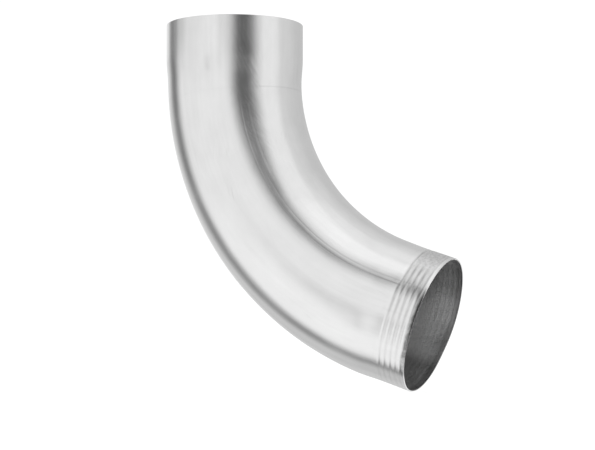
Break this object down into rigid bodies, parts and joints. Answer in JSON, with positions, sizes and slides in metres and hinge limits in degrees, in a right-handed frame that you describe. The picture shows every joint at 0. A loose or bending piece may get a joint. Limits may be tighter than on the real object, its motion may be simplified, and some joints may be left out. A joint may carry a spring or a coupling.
{
  "type": "pipe elbow",
  "caption": "Bent sheet-metal elbow for a round rainwater pipe: a plain widened socket at the top, a smooth bend with a lengthwise welded seam, and a grooved plug-in spigot.",
  "frame": {"origin": "centre of the socket's mouth", "axes": "+Z along the socket's axis, out of its mouth; the bend turns from straight down towards +X; +Y is across the bend"},
  "size_m": [0.223, 0.1024, 0.2689],
  "materials": {
    "sheet": "satin, drawn lengthwise",
    "weld": "dressed, slightly brighter than the sheet"
  },
  "bodies": {
    "root": {"socket_end": "sheet", "bend_tube": "sheet", "spigot_end": "sheet", "socket_seam_weld": "weld", "bend_seam_weld": "weld", "spigot_seam_weld": "weld", "socket_girth_weld": "weld", "spigot_girth_weld": "weld"}
  },
  "joints": []
}
